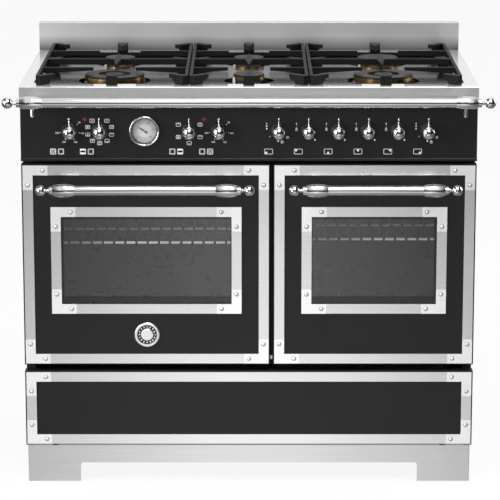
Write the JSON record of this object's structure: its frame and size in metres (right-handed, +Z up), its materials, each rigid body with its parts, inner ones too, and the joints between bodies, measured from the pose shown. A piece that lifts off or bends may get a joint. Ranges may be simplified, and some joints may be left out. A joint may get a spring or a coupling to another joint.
{
  "type": "range cooker",
  "caption": "Free-standing range cooker: gas hob under lift-off cast-iron pan supports, drop-down oven doors side by side, turning chrome knobs and a sliding storage drawer.",
  "frame": {"origin": "on the floor, under the middle of the whole box", "axes": "+X to the right seen from the front, +Y to the back, +Z up"},
  "size_m": [1.0672, 0.66, 0.966],
  "materials": {
    "satin_black": "satin black enamel",
    "trim_steel": "brushed stainless strips and plates",
    "hob_steel": "brushed stainless sheet",
    "plinth_steel": "brushed stainless sheet",
    "galvanised_steel": "galvanised sheet",
    "side_black": "black stove paint",
    "oven_enamel": "dark vitreous enamel",
    "chrome": "bright chrome plate",
    "wire_chrome": "chromed wire",
    "cast_iron": "matte black enamelled cast iron",
    "brass": "bare brass",
    "cap_enamel": "matte black enamel",
    "cup_aluminium": "cast aluminium",
    "ceramic": "glazed white ceramic",
    "door_glass": "toughened grey glass",
    "rope_seal": "glass-fibre rope",
    "element_steel": "heat-darkened tube",
    "motor_black": "black paint",
    "needle_orange": "orange paint",
    "lamp_lens": "red lens",
    "foot_plastic": "black moulded plastic"
  },
  "bodies": {
    "cooker": {"side_panels": "side_black", "back_panel": "galvanised_steel", "base_panel": "galvanised_steel", "drawer_runners": "galvanised_steel", "oven_deck": "galvanised_steel", "front_frame": "side_black", "plinth": "plinth_steel", "levelling_feet": "foot_plastic", "main_oven_cavity": "oven_enamel", "small_oven_cavity": "oven_enamel", "oven_door_seals": "rope_seal", "shelf_side_racks": "wire_chrome", "oven_shelves": "wire_chrome", "grill_elements": "element_steel", "fan_cover": "oven_enamel", "fan_motor": "motor_black", "hinge_arms": "galvanised_steel", "worktop": "hob_steel", "upstand": "hob_steel", "burner_cups": "cup_aluminium", "burner_heads": "brass", "burner_caps": "cap_enamel", "igniters": "ceramic", "towel_rail": "chrome", "control_panel": "satin_black", "valves_and_switches": "brass", "gas_manifold": "brass", "gauge_case": "chrome", "gauge_glass": "door_glass", "indicator_lamps": "lamp_lens"},
    "drawer": {"drawer_front": "satin_black", "drawer_trim": "trim_steel", "drawer_box": "galvanised_steel"},
    "fan": {"fan_impeller": "cup_aluminium"},
    "needle": {"gauge_needle": "needle_orange"},
    "main_door": {"main_door_skin": "satin_black", "main_door_trim": "trim_steel", "main_door_glass": "door_glass", "main_door_liner": "oven_enamel", "main_door_handle": "chrome", "main_door_hinges": "galvanised_steel"},
    "small_door": {"small_door_skin": "satin_black", "small_door_trim": "trim_steel", "small_door_glass": "door_glass", "small_door_liner": "oven_enamel", "small_door_handle": "chrome", "small_door_hinges": "galvanised_steel"},
    "left_grate": {"left_grate": "cast_iron"},
    "centre_grate": {"centre_grate": "cast_iron"},
    "right_grate": {"right_grate": "cast_iron"},
    "main_thermostat_knob": {"main_thermostat_knob": "chrome"},
    "main_selector_knob": {"main_selector_knob": "chrome"},
    "small_selector_knob": {"small_selector_knob": "chrome"},
    "small_thermostat_knob": {"small_thermostat_knob": "chrome"},
    "gas_knob_1": {"gas_knob_1": "chrome"},
    "gas_knob_2": {"gas_knob_2": "chrome"},
    "gas_knob_3": {"gas_knob_3": "chrome"},
    "gas_knob_4": {"gas_knob_4": "chrome"},
    "gas_knob_5": {"gas_knob_5": "chrome"},
    "gas_knob_6": {"gas_knob_6": "chrome"}
  },
  "joints": [
    {"name": "main_door_hinge", "type": "hinge", "parent": "cooker", "child": "main_door", "pos_m": [-0.2261, -0.242, 0.298], "axis": [1, 0, 0], "range_deg": [0, 90], "stiffness_Nm_per_rad": 12, "springref_deg": -11.46},
    {"name": "small_door_hinge", "type": "hinge", "parent": "cooker", "child": "small_door", "pos_m": [0.2761, -0.242, 0.298], "axis": [1, 0, 0], "range_deg": [0, 90], "stiffness_Nm_per_rad": 9.5, "springref_deg": -11.46},
    {"name": "drawer_slide", "type": "slide", "parent": "cooker", "child": "drawer", "axis": [0, -1, 0], "range_m": [0, 0.3]},
    {"name": "main_thermostat_knob_turn", "type": "hinge", "parent": "cooker", "child": "main_thermostat_knob", "pos_m": [-0.3912, -0.26, 0.8015], "axis": [0, 1, 0], "range_deg": [0, 270]},
    {"name": "main_selector_knob_turn", "type": "hinge", "parent": "cooker", "child": "main_selector_knob", "pos_m": [-0.326, -0.26, 0.8015], "axis": [0, 1, 0], "continuous": true},
    {"name": "small_selector_knob_turn", "type": "hinge", "parent": "cooker", "child": "small_selector_knob", "pos_m": [-0.1304, -0.26, 0.8015], "axis": [0, 1, 0], "continuous": true},
    {"name": "small_thermostat_knob_turn", "type": "hinge", "parent": "cooker", "child": "small_thermostat_knob", "pos_m": [-0.0652, -0.26, 0.8015], "axis": [0, 1, 0], "range_deg": [0, 270]},
    {"name": "gas_knob_1_turn", "type": "hinge", "parent": "cooker", "child": "gas_knob_1", "pos_m": [0.0652, -0.26, 0.8015], "axis": [0, -1, 0], "range_deg": [0, 230]},
    {"name": "gas_knob_2_turn", "type": "hinge", "parent": "cooker", "child": "gas_knob_2", "pos_m": [0.1304, -0.26, 0.8015], "axis": [0, -1, 0], "range_deg": [0, 230]},
    {"name": "gas_knob_3_turn", "type": "hinge", "parent": "cooker", "child": "gas_knob_3", "pos_m": [0.1956, -0.26, 0.8015], "axis": [0, -1, 0], "range_deg": [0, 230]},
    {"name": "gas_knob_4_turn", "type": "hinge", "parent": "cooker", "child": "gas_knob_4", "pos_m": [0.2608, -0.26, 0.8015], "axis": [0, -1, 0], "range_deg": [0, 230]},
    {"name": "gas_knob_5_turn", "type": "hinge", "parent": "cooker", "child": "gas_knob_5", "pos_m": [0.326, -0.26, 0.8015], "axis": [0, -1, 0], "range_deg": [0, 230]},
    {"name": "gas_knob_6_turn", "type": "hinge", "parent": "cooker", "child": "gas_knob_6", "pos_m": [0.3912, -0.26, 0.8015], "axis": [0, -1, 0], "range_deg": [0, 230]},
    {"name": "needle_turn", "type": "hinge", "parent": "cooker", "child": "needle", "pos_m": [-0.2282, -0.2626, 0.8015], "axis": [0, -1, 0], "range_deg": [-192, 78]},
    {"name": "fan_spin", "type": "hinge", "parent": "cooker", "child": "fan", "pos_m": [-0.2261, 0.2185, 0.4975], "axis": [0, 1, 0], "continuous": true},
    {"name": "left_grate_lift", "type": "slide", "parent": "cooker", "child": "left_grate", "axis": [0, 0, 1], "range_m": [0, 0.12]},
    {"name": "centre_grate_lift", "type": "slide", "parent": "cooker", "child": "centre_grate", "axis": [0, 0, 1], "range_m": [0, 0.12]},
    {"name": "right_grate_lift", "type": "slide", "parent": "cooker", "child": "right_grate", "axis": [0, 0, 1], "range_m": [0, 0.12]}
  ]
}
